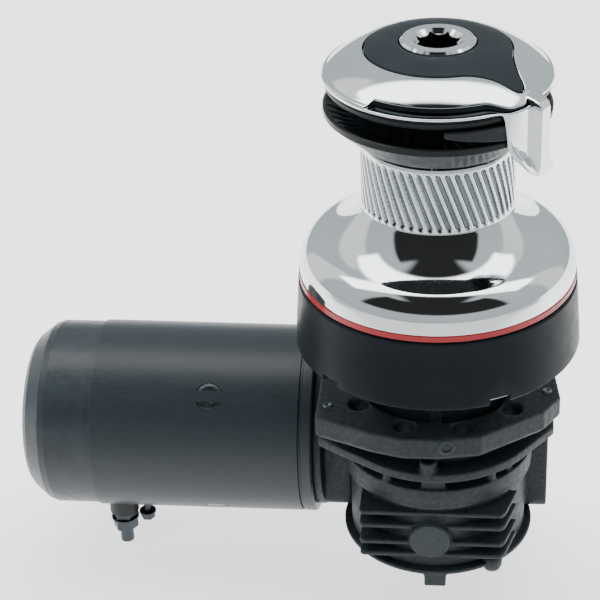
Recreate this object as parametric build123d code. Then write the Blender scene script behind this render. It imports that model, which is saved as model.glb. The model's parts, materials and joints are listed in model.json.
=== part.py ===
"""Electric two-speed self-tailing sailboat winch with its below-deck worm gearbox and motor.

The origin lies on the winch axis at the deck plane. +Z is up, the motor lies along -X and the
front of the gearbox faces -Y. All sizes are in millimetres.
"""
from build123d import *
import math
import os

# ---- Driving dimensions -------------------------------------------------------------------
running = 0.05            # radial clearance of every running fit

# Winch above the deck
skirt_bottom_r = 78.5     # foot of the base skirt
skirt_top_r = 76.0
skirt_height = 38.9
skirt_wall = 2.4
notch_count = 5           # drain notches in the foot of the skirt
notch_angle = -62.3       # direction of the first notch
notch_width = 12.0
notch_height = 4.5
flange_thick = 8.0        # base flange that is bolted to the deck
flange_r = 73.0
deck_bolt_pcd = 104.0
deck_bolt_hole_r = 4.25
deck_bolt_angle = -72.0
top_plate_z = 54.0        # plate that closes the gear case, over the gear spindles
top_plate_thick = 5.0
top_plate_r = 57.0
stem_r = 28.0             # bearing diameter of the stem
stem_neck_r = 27.0
stem_bore_r = 17.0
stem_shoulder_z = 146.0
stem_top_z = 150.0

drum_rim_r = 75.0
drum_bottom_z = 39.9
drum_waist_r = 41.0       # over the ribs, where the line grips
drum_core_r = 39.7
drum_bore_r = 34.0
drum_neck_r = 37.0
waist_low_z = 85.0
waist_top_z = 121.0
rib_top_z = 119.2
neck_top_z = 145.6
rib_count = 52
rib_lean = 20.0
rib_width = 2.4
stripe_low_z = 40.6
stripe_top_z = 43.6
stripe_r = 75.35

jaw_rim_r = 59.8
groove_r = 44.0           # bottom of the line groove between the jaws
spring_count = 8
spring_circle_r = 39.6
spring_coil_r = 1.3
spring_wire_r = 0.32

cap_r = 60.0
cap_bottom_z = 156.6
socket_bore_in_cap = 20.2
arm_angle = -41.0         # direction of the line guide arm
arm_inner_r = 60.6
arm_outer_r = 67.0
insert_r = 38.0
insert_tip_r = 54.5        # tip of the tail, and the radius of its rounding
insert_tip_radius = 5.0
insert_tip_angle = -38.0
insert_depth = 3.0
insert_gap = 0.5

socket_ring_r = 19.6
socket_top_z = 176.0
star_square = 17.5        # side of each of the two squares of the eight-point handle socket
star_depth = 24.0
socket_body_r = 16.0

# Two-speed gear train
gear_module = 2.0
ring_teeth = 62
pinion_teeth = 18         # last pinion of both speeds
low_gear_teeth = 26
shaft_pinion_teeth = 18
high_wheel_teeth = 24
high_gear_teeth = 14
idler_teeth = 12
spindle_r = 6.0
idler_spindle_r = 5.0
low_angle = 36.0          # directions of the two gear spindles
high_angle = 180.0
shaft_r = 12.0
shaft_neck_r = 10.0
sleeve_r = 11.0
low_z = 12.0              # low-speed gears
high_z = 26.0             # high-speed gears
ring_z = 41.0             # ring gear in the drum
pinion_z = 40.5
face = 10.0
pinion_face = 11.0

# Ratchets
ratchet_teeth = 12
ratchet_tip_r = 16.2
ratchet_root_r = 19.0
ratchet_first_angle = 72.0
carrier_r = 15.8
pawl_pivot = (-5.0, 12.6)
pawl_heel_r = 2.0
pawl_tip_x = 5.0
pawl_pin_r = 1.2

# Worm gearbox below the deck
motor_y = 40.0            # height and offset of the worm and motor axis
motor_z = -87.0
worm_module = 2.5
wheel_teeth = 25
worm_pitch_r = 8.75
worm_length = 50.0
wheel_face = 14.0
plate_top_z = -29.0
plate_bottom_z = -44.0
plate_bolt_hole_r = 5.75
pocket_floor_z = -39.0
neck_r = 46.0
flange_top_z = -55.0
flange_bottom_z = -60.6
flange_front_r = 59.0
ring_r = 54.3
ring_top_z = -69.2
case_joint_z = -82.0
case_r = 50.5
case_bottom_z = -125.0
cover_bottom_z = -129.6
cover_r = 54.8
tunnel_end_x = 63.4
tunnel_start_x = -51.0
fin_bottoms = (-88.8, -97.6, -108.9, -117.1)
fin_thick = 2.8
fin_front_y = -52.0
fin_half_width = 41.5

# Motor
motor_r = 55.4
motor_wall = 4.4
neck_start_x = -72.0
cap_seam_x = -200.0
motor_end_x = -242.0
end_cap_r = 54.5
armature_shaft_r = 8.0
terminal_x = -191.0
terminal_y = 16.0
terminal_end_z = -164.0
stud_r = 4.0
stud_shank_r = 3.5         # inside the nuts and the insulator, above the free end
stud_free_z = -154.3
earth_bolt_x = -177.0
earth_bolt_end_z = -134.0  # the bolt ends inside the motor wall


# ---- Helpers ------------------------------------------------------------------------------
def polar(radius, degrees):
    """Point at a radius and direction in the XY plane."""
    angle = math.radians(degrees)
    return radius * math.cos(angle), radius * math.sin(angle)


def lathe(*points):
    """Solid of revolution about Z from (radius, height) corners."""
    return revolve(Plane.XZ * make_face(Polyline(*points, close=True)), Axis.Z)


def tube(outer_r, inner_r, low, high):
    """Upright tube between two heights."""
    return lathe((inner_r, low), (outer_r, low), (outer_r, high), (inner_r, high))


def rod(radius, low, high, x=0.0, y=0.0):
    """Upright cylinder between two heights."""
    return Pos(x, y, (low + high) / 2) * Cylinder(radius, high - low)


def block(x_low, x_high, y_low, y_high, z_low, z_high):
    """Box between its six faces."""
    centre = Pos((x_low + x_high) / 2, (y_low + y_high) / 2, (z_low + z_high) / 2)
    return centre * Box(x_high - x_low, y_high - y_low, z_high - z_low)


def along_motor(shape):
    """Turns a shape made about Z so that its axis is the motor axis and its height is +X."""
    return Pos(0, motor_y, motor_z) * Rot(0, 90, 0) * shape


def ring_of(shape, count, start=0.0):
    """Copies of a shape, evenly spaced about Z."""
    return [Rot(0, 0, start + 360 * i / count) * shape for i in range(count)]


def sector(outer_r, inner_r, low, high, start, end):
    """Part of a tube between two directions."""
    section = Polyline((inner_r, low), (outer_r, low), (outer_r, high), (inner_r, high), close=True)
    whole = revolve(Plane.XZ * make_face(section), Axis.Z, revolution_arc=end - start)
    return Rot(0, 0, start) * whole


def write(name, shape):
    """Writes a node; a list is a group of separate solids."""
    if isinstance(shape, (list, tuple)):
        solids = [solid for item in shape for solid in item.solids()]
    else:
        solids = shape.solids()
    body = solids[0] if len(solids) == 1 else Compound(solids)
    export_step(body, f"parts/{name}.step")


def ball_bearing(inner_r, outer_r, low, high):
    """Inner ring, outer ring and balls as separate solids about Z."""
    ring = (outer_r - inner_r) * 0.27
    middle_r = (inner_r + outer_r) / 2
    ball_r = (outer_r - inner_r) / 2 - ring - running
    balls = int(math.pi * middle_r / (ball_r * 1.15))
    ball = Pos(middle_r, 0, (low + high) / 2) * Sphere(ball_r)
    rings = [tube(inner_r + ring, inner_r, low, high), tube(outer_r, outer_r - ring, low, high)]
    return rings + ring_of(ball, balls)


# ---- Gears --------------------------------------------------------------------------------
def gear_outline(teeth, module, phase, addendum, dedendum, backlash=0.30):
    """Points of an involute gear; one tooth is centred on the direction phase."""
    pitch_r = teeth * module / 2
    base_r = pitch_r * math.cos(math.radians(20))
    root_r = pitch_r - dedendum
    tip_r = pitch_r + addendum
    start_r = max(base_r, root_r)

    def involute(radius):
        roll = math.acos(min(1.0, base_r / radius))
        return math.tan(roll) - roll

    half_at_pitch = math.pi / (2 * teeth) - backlash / (2 * pitch_r)
    flank = []
    for step in range(5):
        radius = start_r + (tip_r - start_r) * step / 4
        flank.append((radius, half_at_pitch + involute(pitch_r) - involute(radius)))
    if root_r < start_r:
        flank.insert(0, (root_r, flank[0][1]))
    points = []
    for tooth in range(teeth):
        centre = math.radians(phase) + 2 * math.pi * tooth / teeth
        for radius, half in flank:
            points.append((radius * math.cos(centre - half), radius * math.sin(centre - half)))
        for radius, half in reversed(flank):
            points.append((radius * math.cos(centre + half), radius * math.sin(centre + half)))
    return points


def spur_gear(teeth, low, width, phase):
    """Solid spur gear about Z with stub teeth."""
    outline = gear_outline(teeth, gear_module, phase, 0.8 * gear_module, 1.05 * gear_module)
    return Pos(0, 0, low) * extrude(make_face(Polyline(*outline, close=True)), width)


def pitch_r(teeth):
    return teeth * gear_module / 2


def meshing_phase(teeth, mate_teeth, mate_phase, direction):
    """Phase of a gear that meshes with a gear whose centre lies opposite the given direction."""
    mate_step = 360 / mate_teeth
    step = 360 / teeth
    mate_fraction = (direction - mate_phase) / mate_step
    return direction + 180 - (0.5 - mate_fraction) * step


def ring_mesh_phase(teeth, ring_phase, direction):
    """Phase of a pinion inside the ring gear, whose tooth spaces start at ring_phase."""
    fraction = (direction - ring_phase) / (360 / ring_teeth)
    return direction - fraction * 360 / teeth


def ratchet_cavity(low, high, mirrored):
    """Toothed hole of a ratchet ring; its steep faces hold the pawl tips."""
    points = []
    for tooth in range(ratchet_teeth):
        steep = ratchet_first_angle + 360 / ratchet_teeth * tooth
        points.append(polar(ratchet_tip_r, steep - 0.6))
        points.append(polar(ratchet_root_r, steep))
        points.append(polar(ratchet_root_r, steep + 5.0))
    cavity = Pos(0, 0, low) * extrude(make_face(Polyline(*points, close=True)), high - low)
    return mirror(cavity, Plane.YZ) if mirrored else cavity


def pawl(low, high, mirrored):
    """Pawl at its retracted rest, with its pivot hole."""
    pivot_x, pivot_y = pawl_pivot
    arm = block(pivot_x, pawl_tip_x, pivot_y - pawl_heel_r, pivot_y + pawl_heel_r, low, high)
    shape = arm + rod(pawl_heel_r, low, high, pivot_x, pivot_y)
    shape -= rod(pawl_pin_r + running, low - 1, high + 1, pivot_x, pivot_y)
    return mirror(shape, Plane.YZ) if mirrored else shape


def pawl_pocket(low, high, mirrored):
    """Room for a pawl in its carrier, open to the outside."""
    pivot_x, pivot_y = pawl_pivot
    shape = block(pivot_x - 2.3, pawl_tip_x + 1.0, pivot_y - pawl_heel_r - 0.4, 20, low, high)
    return mirror(shape, Plane.YZ) if mirrored else shape


def pawl_pins(low, high, mirrored):
    pin = rod(pawl_pin_r, low, high, *pawl_pivot)
    pin = mirror(pin, Plane.YZ) if mirrored else pin
    return ring_of(pin, 2)


def cut_pawl_seats(carrier, low, high, mirrored):
    """Carrier with two opposite pawl pockets and their pin holes."""
    for pocket in ring_of(pawl_pocket(low + 1.4, high - 1.2, mirrored), 2):
        carrier -= pocket
    for pin in pawl_pins(low, high, mirrored):
        carrier -= pin
    return carrier


# ---- Places of the gear spindles -----------------------------------------------------------
spindle_circle_r = pitch_r(ring_teeth) - pitch_r(pinion_teeth)
idler_to_shaft = pitch_r(high_wheel_teeth) + pitch_r(idler_teeth)
idler_to_high = pitch_r(high_gear_teeth) + pitch_r(idler_teeth)
idler_cosine = (spindle_circle_r ** 2 + idler_to_shaft ** 2 - idler_to_high ** 2) / (
    2 * spindle_circle_r * idler_to_shaft)
idler_angle = high_angle - math.degrees(math.acos(idler_cosine))
low_x, low_y = polar(spindle_circle_r, low_angle)
high_x, high_y = polar(spindle_circle_r, high_angle)
idler_x, idler_y = polar(idler_to_shaft, idler_angle)
idler_seen_from_high = math.degrees(math.atan2(idler_y - high_y, idler_x - high_x))


# ---- Base and its fixed pieces -------------------------------------------------------------
def make_base():
    """Flange, gear-case pillars, top plate and stem in one casting."""
    plate_top = top_plate_z + top_plate_thick
    shape = rod(flange_r, 0, flange_thick)
    for start, end in ((84, 116), (216, 348)):
        shape += sector(42, 33, flange_thick, top_plate_z, start, end)
    shape += rod(top_plate_r, top_plate_z, plate_top)
    shape += rod(stem_r, plate_top, stem_shoulder_z)
    shape += rod(stem_neck_r, stem_shoulder_z, stem_top_z)
    shape -= rod(16, -1, flange_thick + 1)
    shape -= rod(stem_bore_r, top_plate_z - 1, 139)
    shape -= rod(socket_bore_in_cap, 138, stem_top_z + 1)
    for x, y in ((low_x, low_y), (high_x, high_y)):
        shape -= rod(spindle_r, -1, plate_top + 1, x, y)
    shape -= rod(idler_spindle_r, -1, plate_top + 1, idler_x, idler_y)
    bolt_x, bolt_y = polar(deck_bolt_pcd / 2, deck_bolt_angle)
    for hole in ring_of(rod(deck_bolt_hole_r, -1, flange_thick + 1, bolt_x, bolt_y), 5):
        shape -= hole
    for screw in cover_screw_shanks():
        shape -= screw
    return shape


def make_skirt():
    """Thin black shell round the gear case, with drain notches at its foot."""
    inner = skirt_bottom_r - skirt_wall - 1.6
    under_lip = skirt_height - skirt_wall
    shape = lathe((skirt_bottom_r - 4.0, 0), (skirt_bottom_r - 1.2, 0), (skirt_bottom_r, 1.4),
                  (skirt_bottom_r - 0.1, 4.0), (skirt_top_r, skirt_height - 0.8),
                  (skirt_top_r - 0.8, skirt_height), (71.0, skirt_height), (71.0, under_lip),
                  (skirt_top_r - skirt_wall, under_lip), (inner, 4.0))
    notch = block(70, 82, -notch_width / 2, notch_width / 2, -1, notch_height)
    for cut in ring_of(notch, notch_count, notch_angle):
        shape -= cut
    return shape


def make_shaft_bushes():
    return [tube(16, shaft_r + running, 0, flange_thick),
            tube(stem_bore_r, shaft_neck_r + running, 112, 134)]


# ---- Drum and jaws -------------------------------------------------------------------------
def make_drum():
    """Drum with its ring gear, its ribbed waist and the neck that carries the jaws."""
    outline = [Polyline((60, 52.3), (60, 60), (drum_bore_r, 63.5), (drum_bore_r, neck_top_z),
                        (drum_neck_r, neck_top_z), (drum_neck_r, waist_top_z), (drum_waist_r, waist_top_z),
                        (drum_waist_r, 119.8), (drum_core_r, 118.8), (drum_core_r, 88)),
               ThreePointArc((drum_core_r, 88), (47.8, 75.2), (64, 64.2)),
               ThreePointArc((64, 64.2), (71.6, 58.6), (drum_rim_r, 51.5)),
               Polyline((drum_rim_r, 51.5), (drum_rim_r, stripe_top_z), (72.8, stripe_top_z),
                        (72.8, stripe_low_z), (drum_rim_r, stripe_low_z), (drum_rim_r, drum_bottom_z),
                        (60, drum_bottom_z), (60, 52.3))]
    edges = [edge for line in outline for edge in line.edges()]
    shape = revolve(Plane.XZ * make_face(edges), Axis.Z)
    teeth = gear_outline(ring_teeth, gear_module, 0, 1.15 * gear_module, 0.8 * gear_module, backlash=-0.05)
    shape -= Pos(0, 0, 39) * extrude(make_face(Polyline(*teeth, close=True)), 13.3)
    rib_length = (rib_top_z - waist_low_z) / math.cos(math.radians(rib_lean))
    rib_place = Pos(drum_core_r, 0, (rib_top_z + waist_low_z) / 2) * Rot(rib_lean, 0, 0)
    rib = rib_place * Box(1.9, rib_width, rib_length)
    shape += ring_of(rib, rib_count)
    for screw in make_jaw_screws():
        shape -= screw
    return shape


def make_jaw_screws():
    middle_r = (drum_bore_r + groove_r) / 2
    length = groove_r - drum_bore_r - 1.2
    screw = Pos(middle_r, 0, 141) * Rot(0, 90, 0) * Cylinder(1.8, length)
    return ring_of(screw, 6, 30)


def make_upper_jaw():
    """Jaw fixed to the drum neck; its cone faces down into the line groove."""
    shape = lathe((drum_neck_r, 135.6), (groove_r, 135.6), (groove_r, 147), (58.0, 152), (58.8, 153.2),
                  (58.8, 155.0), (58.0, 156.0), (51.0, 156.0), (46.0, 151.0), (drum_neck_r, 150.0))
    for screw in make_jaw_screws():
        shape -= screw
    return shape


def spring_places():
    return [polar(spring_circle_r, 360 * i / spring_count) for i in range(spring_count)]


def make_lower_jaw():
    """Sliding jaw with its cone facing up and the spring pockets in its underside."""
    bore = drum_neck_r + 0.3
    shape = lathe((bore, 123.5), (43.4, 123.5), (jaw_rim_r, 138.2), (jaw_rim_r, 141.0),
                  (58.9, 141.6), (58.2, 141.6), (44.6, 136.2), (44.6, 135.0), (bore, 135.0))
    for x, y in spring_places():
        shape -= rod(spring_coil_r + spring_wire_r + 0.2, 120, 131, x, y)
    return shape


def make_jaw_springs():
    """Coil springs that push the lower jaw up."""
    low = waist_top_z + 0.05
    length = 9.8
    wire = Pos(spring_coil_r, 0, low) * Face(Wire(Circle(spring_wire_r).edges()))
    coil = Solid.extrude_linear_with_rotation(wire, (0, 0, low), (0, 0, length), 360 * 5)
    return [Pos(x, y, 0) * coil for x, y in spring_places()]


def make_bearing(low, high):
    """Roller bearing between the stem and the drum: a cage and its rollers."""
    middle_r = (stem_r + drum_bore_r) / 2
    roller_r = (drum_bore_r - stem_r) / 2 - running
    roller = rod(roller_r, low + 2.5, high - 2.5, middle_r, 0)
    pocket = rod(roller_r + running, low + 2.3, high - 2.3, middle_r, 0)
    cage = tube(middle_r + 1.6, middle_r - 1.6, low, high)
    for cut in ring_of(pocket, 18):
        cage -= cut
    return [cage] + ring_of(roller, 18)


# ---- Cap, arm and handle socket ------------------------------------------------------------
def dome(drop):
    """Everything under the cap's domed top, lowered by drop."""
    arc = ThreePointArc((cap_r, 158.3 - drop), (51.0, 165.3 - drop), (10.0, 173.4 - drop))
    sides = Polyline((10.0, 173.4 - drop), (0, 173.4 - drop), (0, 140), (cap_r, 140), (cap_r, 158.3 - drop))
    return revolve(Plane.XZ * make_face(arc.edges() + sides.edges()), Axis.Z)


def insert_outline(grow):
    """Teardrop: a disc with a round-tipped tail whose sides curve inwards."""
    radius = insert_r + grow
    tip_radius = insert_tip_radius + grow
    tip_centre = insert_tip_r - insert_tip_radius
    flank = [(radius * math.cos(math.radians(32)), radius * math.sin(math.radians(32))),
             (40.5, 11.6 + grow), (tip_centre, tip_radius)]
    side = ThreePointArc(*flank)
    other_side = ThreePointArc(*[(x, -y) for x, y in reversed(flank)])
    tip = ThreePointArc(flank[2], (insert_tip_r + grow, 0), (tip_centre, -tip_radius))
    tail = Line((0, 0), flank[0]) + side + tip + other_side + Line((flank[0][0], -flank[0][1]), (0, 0))
    return Circle(radius) + Rot(0, 0, insert_tip_angle) * make_face(tail)


def make_arm():
    """Line guide arm that hangs from the rim of the cap."""
    outline = Polyline((-17, 164), (15.5, 164), (13.5, 150), (10.5, 128), (9.5, 117), (2.5, 116), (-3, 124),
                       (-10, 140), (-16, 152), close=True)
    plate = Rot(0, 0, arm_angle + 90) * (Plane.XZ * make_face(outline))
    plate = extrude(plate, amount=80, dir=(*polar(1, arm_angle), 0))
    hanging = plate & tube(arm_outer_r, arm_inner_r, 110, 160)
    root = plate & tube(arm_outer_r, 54, 158, 163.5)
    return hanging + root


def make_top_cover():
    """Chrome cap with its hub on the stem, the recess for the insert and the arm."""
    shape = dome(0) & tube(cap_r, socket_bore_in_cap, cap_bottom_z, 180)
    shape -= lathe((26, 150), (56.2, 150), (56.2, cap_bottom_z), (52.0, 161.0), (26, 161.0))
    shape += tube(stem_neck_r, socket_bore_in_cap, stem_top_z, 162)
    prism = Pos(0, 0, 140) * extrude(insert_outline(insert_gap), 40)
    shape -= prism - dome(insert_depth)
    shape += make_arm()
    for screw in make_cover_screws():
        shape -= screw
    return shape


def make_cover_insert():
    """Dark teardrop plate let into the cap round the handle socket."""
    prism = Pos(0, 0, 140) * extrude(insert_outline(0), 40)
    return (prism & dome(0)) - dome(insert_depth) - rod(socket_bore_in_cap, 140, 180)


def cover_screw_shanks():
    return ring_of(rod(1.8, 141, 166, 23.6, 0), 4, 45)


def make_cover_screws():
    heads = ring_of(rod(3.1, 165.5, 168.5, 23.6, 0), 4, 45)
    return [shank + head for shank, head in zip(cover_screw_shanks(), heads)]


def make_line_feeder():
    """Curved wedge that lifts the line out of the jaws; it is held by the arm."""
    outline = Polyline((45.5, 138.6), (56.5, 142.7), (arm_inner_r, 142.7), (arm_inner_r, 150.8),
                       (57.5, 150.4), (45.5, 146.2), close=True)
    wedge = revolve(Plane.XZ * make_face(outline), Axis.Z, revolution_arc=33)
    nose = Polyline((30, -1), (57.5, -1), (53, 8), (48, 18), (47, 21), (30, 21), close=True)
    wedge -= Pos(0, 0, 138) * extrude(make_face(nose), 16)
    return Rot(0, 0, -83) * wedge


def make_handle_socket():
    """Socket with an eight-point star bore on top of the main shaft."""
    shape = lathe((0, 140), (socket_body_r, 140), (socket_body_r, 168), (socket_ring_r, 168.8),
                  (socket_ring_r, socket_top_z - 1.2), (socket_ring_r - 1.2, socket_top_z), (0, socket_top_z))
    floor = socket_top_z - star_depth
    for turn in (0, 45):
        shape -= Pos(0, 0, floor) * Rot(0, 0, turn + 22.5) * Pos(0, 0, star_depth) * Box(
            star_square, star_square, 2 * star_depth)
    shape -= lathe((0, socket_top_z - 2.4), (11.0, socket_top_z - 2.4), (13.6, socket_top_z + 0.1),
                   (0, socket_top_z + 0.1))
    return shape - rod(8, 139, 150)


# ---- Gear train ----------------------------------------------------------------------------
def make_main_shaft():
    """Shaft from the clutch up to the socket, with the low-speed pinion and the pawl carrier."""
    shape = rod(shaft_r, -108, high_z)
    shape += spur_gear(shaft_pinion_teeth, low_z, face, 0)
    shape += rod(carrier_r, high_z, high_z + face - 0.2)
    shape += rod(shaft_neck_r, high_z + face - 0.2, 140)
    shape += rod(8, 140, 150)
    return cut_pawl_seats(shape, high_z, high_z + face - 0.2, False)


def make_low_gear():
    phase = meshing_phase(low_gear_teeth, shaft_pinion_teeth, 0, low_angle)
    shape = spur_gear(low_gear_teeth, low_z, face, phase)
    shape -= ratchet_cavity(low_z - 1, low_z + face + 1, True)
    shape += tube(22.6, spindle_r + running + 0.01, low_z - 2.4, low_z)
    return Pos(low_x, low_y, 0) * shape


def make_low_pinion():
    phase = ring_mesh_phase(pinion_teeth, 0, low_angle)
    carrier = rod(carrier_r, low_z + 0.2, low_z + face)
    shape = cut_pawl_seats(carrier, low_z + 0.2, low_z + face, True)
    shape += rod(sleeve_r, low_z + face, pinion_z)
    shape += spur_gear(pinion_teeth, pinion_z, pinion_face, phase)
    shape -= rod(spindle_r + running, 0, 60)
    return Pos(low_x, low_y, 0) * shape


def high_gear_phase():
    """The high-speed gear is keyed at its own phase, so it starts with a tooth along X."""
    return 0.0


def idler_phase():
    return meshing_phase(idler_teeth, high_gear_teeth, high_gear_phase(), idler_seen_from_high)


def make_high_cluster():
    phase = ring_mesh_phase(pinion_teeth, 0, high_angle)
    shape = rod(sleeve_r, flange_thick + 1, pinion_z)
    shape += spur_gear(high_gear_teeth, high_z, face, high_gear_phase())
    shape += spur_gear(pinion_teeth, pinion_z, pinion_face, phase)
    shape -= rod(spindle_r + running, 0, 60)
    return Pos(high_x, high_y, 0) * shape


def make_idler_gear():
    shape = spur_gear(idler_teeth, high_z, face, idler_phase())
    shape += rod(8.5, flange_thick + 1, high_z)
    shape -= rod(idler_spindle_r + running, 0, 60)
    return Pos(idler_x, idler_y, 0) * shape


def make_high_wheel():
    phase = meshing_phase(high_wheel_teeth, idler_teeth, idler_phase(), idler_angle + 180)
    shape = spur_gear(high_wheel_teeth, high_z, face, phase)
    shape -= ratchet_cavity(high_z - 1, high_z + face + 1, False)
    return shape + tube(21.0, shaft_neck_r + running + 0.01, high_z + face, high_z + face + 2.6)


# ---- Gearbox -------------------------------------------------------------------------------
def tangent_corner(x, y, radius, side):
    """Point where the tangent from (x, y) touches a circle about the origin."""
    distance = math.hypot(x, y)
    direction = math.degrees(math.atan2(y, x)) + side * math.degrees(math.acos(radius / distance))
    return polar(radius, direction)


def plate_outline():
    """Irregular outline of the adapter plate."""
    return Polyline((-65, -44), (-48, -51), (-34, -57.5), (-17, -62.5), (4, -62.5), (26, -58),
                    (47, -42), (60, -32), (69, -17), (66, 6), (61, 36), (36, 60), (-38, 60),
                    (-62, 38), (-66, 10), close=True)


def make_adapter_plate():
    """Cast plate under the deck: pocketed top, bolt holes and the hub that meets the base."""
    shape = Pos(0, 0, plate_bottom_z) * extrude(make_face(plate_outline()), plate_top_z - plate_bottom_z)
    lower_edges = shape.faces().sort_by(Axis.Z)[0].edges()
    shape = chamfer(lower_edges, 3.0)
    shape -= tube(45.5, 38, pocket_floor_z, plate_top_z + 1)
    shape += block(-1.5, 3.5, -46, -37, -40, plate_top_z)
    shape += rod(38, -40, 0)
    shape -= rod(30, -39, 1)
    shape -= rod(18, plate_bottom_z - 1, -38)
    bolt_x, bolt_y = polar(deck_bolt_pcd / 2, deck_bolt_angle)
    for hole in ring_of(rod(plate_bolt_hole_r, plate_bottom_z - 1, plate_top_z + 1, bolt_x, bolt_y), 10):
        shape -= hole
    for screw in plate_screw_shanks():
        shape -= screw
    return shape


def plate_screw_shanks():
    return ring_of(rod(2.0, -50, -38, 41.75, 0), 4, 18)


def make_plate_screws():
    heads = ring_of(rod(3.4, pocket_floor_z, pocket_floor_z + 3.5, 41.75, 0), 4, 18)
    return [shank + head for shank, head in zip(plate_screw_shanks(), heads)]


def worm_tunnel(radius, start, end):
    return along_motor(rod(radius, start, end))


def make_gearbox_flange():
    """Upper half of the gearbox: neck, shaped flange, ventilated ring and joint rings."""
    left = (-66.0, -27.0)
    right = (66.0, -9.0)
    left_touch = tangent_corner(*left, flange_front_r, 1)
    right_touch = tangent_corner(*right, flange_front_r, -1)
    wings = Polyline(left, left_touch, (0, -20), right_touch, right, (66, 30), (44, 44),
                     (-44, 44), (-66, 30), close=True)
    outline = Circle(flange_front_r) + make_face(wings)
    shape = Pos(0, 0, flange_bottom_z) * extrude(outline, flange_top_z - flange_bottom_z)
    shape += rod(neck_r, flange_top_z, plate_bottom_z)
    shape += rod(52.5, ring_top_z, flange_bottom_z)
    shape += rod(ring_r, -76.2, ring_top_z)
    shape += rod(ring_r - 0.9, -76.8, -76.2)
    shape += rod(ring_r - 0.2, case_joint_z, -76.8)
    for start, end in ((-82.5, -40), (-139, -97.5), (-35, 20), (160, 216)):
        shape -= sector(60, 45, ring_top_z, flange_bottom_z, start, end)
    for start in (-120, -52, 0, 180):
        boss_x, boss_y = polar(51.0, start)
        shape += rod(2.9, ring_top_z, flange_bottom_z, boss_x, boss_y)
    shape -= rod(44, case_joint_z - 1, -77)
    shape -= rod(30, -78, -69)
    shape -= rod(24, -70, -64)
    shape -= rod(40, -64, -50)
    shape -= rod(18, -51, plate_bottom_z + 1)
    shape += rod(5.0, flange_top_z, -48, -2.5, -54)
    shape -= rod(2.75, flange_top_z - 1, -47, -2.5, -54)
    shape -= worm_tunnel(16, tunnel_start_x - 20, 50)
    shape -= worm_tunnel(24.5, 50, tunnel_end_x)
    for screw in plate_screw_shanks() + make_flange_screws():
        shape -= screw
    return shape


def make_flange_screws():
    """Screws that hold the two halves of the gearbox together."""
    return [rod(2.2, -95, -77, *polar(47.2, angle)) for angle in (-125, -55, -15, 195)]


def make_gear_housing():
    """Finned lower half of the gearbox with the worm tunnel behind it."""
    shape = rod(case_r, case_bottom_z, case_joint_z)
    for bottom in fin_bottoms:
        fin = Polyline((-fin_half_width, -28), (-fin_half_width, fin_front_y + 1.5),
                       (-fin_half_width + 1.5, fin_front_y), (fin_half_width - 3.5, fin_front_y),
                       (fin_half_width - 1.0, fin_front_y + 3), (fin_half_width + 5, -28), close=True)
        shape += Pos(0, 0, bottom) * extrude(make_face(fin), fin_thick)
    shape += Pos(-1.7, -48, -104) * Rot(90, 0, 0) * Cylinder(12.2, 8)
    tunnel = block(tunnel_start_x, tunnel_end_x, 5, 72, case_bottom_z + 0.5, flange_bottom_z - 0.9)
    tunnel = fillet(tunnel.edges().filter_by(Axis.X), 8)
    shape += tunnel - rod(ring_r + 0.5, case_joint_z, flange_bottom_z)
    shape -= rod(44, -97, case_joint_z + 1)
    shape -= rod(30, -105, -96)
    shape -= rod(14, case_bottom_z - 1, -104)
    shape -= worm_tunnel(16, tunnel_start_x - 1, 50)
    shape -= worm_tunnel(24, 50, tunnel_end_x + 1)
    shape -= Pos(-1.7, -50, -104) * Rot(90, 0, 0) * Cylinder(11.3, 6)
    for screw in make_flange_screws() + make_bottom_screws():
        shape -= screw
    return shape


def make_housing_plug():
    return Pos(-1.7, -51.0, -104) * Rot(90, 0, 0) * chamfer(Cylinder(11.3, 8).edges(), 0.6)


def make_bottom_cover():
    """Round cover with a lug that closes the gearbox from below."""
    shape = lathe((0, cover_bottom_z), (51.5, cover_bottom_z), (cover_r, case_bottom_z - 2.2),
                  (cover_r, case_bottom_z), (0, case_bottom_z))
    shape += block(-5.1, 7.2, -54.5, -44, -136, case_bottom_z - 1)
    for screw in make_bottom_screws():
        shape -= screw
    return shape


def make_bottom_screws():
    screws = []
    for index in range(6):
        x, y = polar(46.5, -60 + 60 * index)
        screws.append(rod(2.2, -126, -112, x, y) + rod(3.8, cover_bottom_z - 1.5, -126, x, y))
    return screws


def make_tunnel_cap():
    """Round cover over the far end of the worm tunnel."""
    return worm_tunnel(24, 50, 58) - worm_tunnel(8, 49, 54)


def make_worm_wheel():
    """Worm wheel with leaning teeth and a long hub."""
    pitch = wheel_teeth * worm_module / 2
    lead_angle = math.degrees(math.atan(worm_module / (2 * worm_pitch_r)))
    shape = rod(pitch - 2.7, motor_z - wheel_face / 2, motor_z + wheel_face / 2)
    half_pitch_gap = math.pi * worm_module / 4 - 0.28
    tooth = Polyline((pitch - 4.0, -half_pitch_gap - 1.0), (pitch + 1.9, -half_pitch_gap + 0.75),
                     (pitch + 1.9, half_pitch_gap - 0.75), (pitch - 4.0, half_pitch_gap + 1.0), close=True)
    solid = Pos(0, 0, -wheel_face) * extrude(make_face(tooth), 2 * wheel_face)
    solid = Pos(0, 0, motor_z) * Rot(lead_angle * -1, 0, 0) * solid
    solid &= rod(pitch + 3, motor_z - wheel_face / 2, motor_z + wheel_face / 2)
    start = 90 + 180 / wheel_teeth
    shape += ring_of(solid, wheel_teeth, start)
    shape += rod(20, -104.9, -69.1)
    shape -= rod(stem_bore_r, -110, -60)
    return shape


def make_clutch():
    """One-way roller clutch between the worm wheel and the main shaft."""
    roller = rod(1.2, -95, -79, 13.3, 0)
    return [tube(stem_bore_r, 14.6, -96, -78)] + ring_of(roller, 16)


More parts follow.
